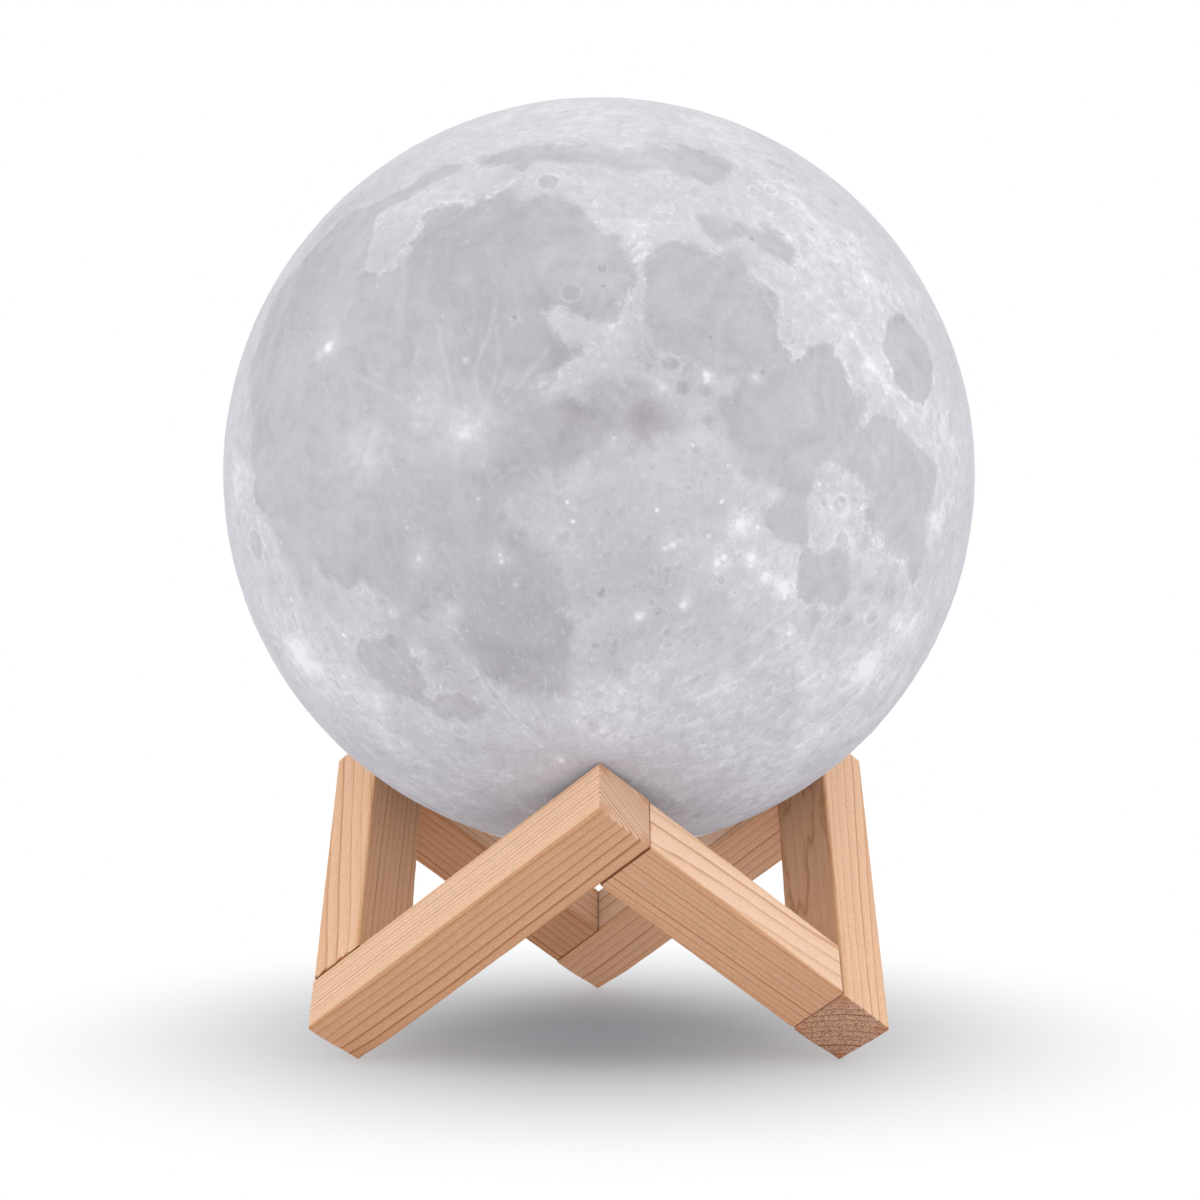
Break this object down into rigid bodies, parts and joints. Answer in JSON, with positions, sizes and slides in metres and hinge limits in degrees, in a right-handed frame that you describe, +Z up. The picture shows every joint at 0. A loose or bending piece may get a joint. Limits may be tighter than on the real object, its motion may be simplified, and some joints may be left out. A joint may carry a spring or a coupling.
{
  "type": "moon lamp",
  "caption": "Round table lamp: a hollow printed moon ball with a twist-in light unit, resting on a zig-zag stand of square wooden sticks.",
  "frame": {"origin": "on the floor, under the middle of the ball", "axes": "+Z up; -Y is the front, where one upper tip of the stand points at the viewer; +X is to the viewer's right"},
  "size_m": [0.15, 0.15, 0.1876],
  "materials": {
    "stand_wood": "sanded, oiled pine",
    "dowel_wood": "raw beech",
    "moon_print": "printed, matt, shallow relief",
    "base_plastic": "moulded, fine texture",
    "bezel_metal": "polished ring",
    "button_plastic": "moulded",
    "switch_plastic": "moulded",
    "socket_steel": "stamped, plated",
    "clear_plastic": "clear moulded",
    "circuit_board": "solder mask",
    "led_board_white": "white solder mask",
    "chip_black": "moulded",
    "screw_steel": "zinc plated",
    "battery_foil": "foil pouch",
    "foam": "soft foam",
    "lead_red": "insulated wire",
    "lead_black": "insulated wire",
    "lead_white": "insulated wire",
    "led_yellow": "phosphor and white frame",
    "diffuser": "milky"
  },
  "bodies": {
    "stand": {"front_left_stick": "stand_wood", "front_right_stick": "stand_wood", "right_stick": "stand_wood", "back_right_stick": "stand_wood", "back_left_stick": "stand_wood", "left_stick": "stand_wood", "corner_dowels": "dowel_wood"},
    "globe": {"moon_shell": "moon_print", "neck_ring": "base_plastic"},
    "base_unit": {"base_cap": "base_plastic", "button_bezel": "bezel_metal", "charging_socket": "socket_steel", "socket_tongue": "switch_plastic", "charge_light_pipe": "clear_plastic", "indicator_led": "led_yellow", "control_board": "circuit_board", "board_chips": "chip_black", "tact_switch": "switch_plastic", "base_screws": "screw_steel", "lamp_pillar": "base_plastic", "battery_pad": "foam", "battery_cell": "battery_foil", "battery_lead_red": "lead_red", "battery_lead_black": "lead_black", "led_leads": "lead_white", "led_board": "led_board_white", "led_chips": "led_yellow", "led_board_screws": "screw_steel", "diffuser_dome": "diffuser"},
    "power_button": {"power_button": "button_plastic", "switch_plunger": "switch_plastic"}
  },
  "joints": [
    {"name": "globe_lift", "type": "slide", "parent": "stand", "child": "globe", "axis": [0, 0, 1], "range_m": [0, 0.12]},
    {"name": "base_twist", "type": "hinge", "parent": "globe", "child": "base_unit", "pos_m": [0, 0, 0.048], "axis": [0, 0, -1], "range_deg": [0, 45]},
    {"name": "button_press", "type": "slide", "parent": "base_unit", "child": "power_button", "axis": [0, 0, 1], "range_m": [0, 0.0006], "stiffness_N_per_m": 800, "springref_m": -0.001}
  ]
}
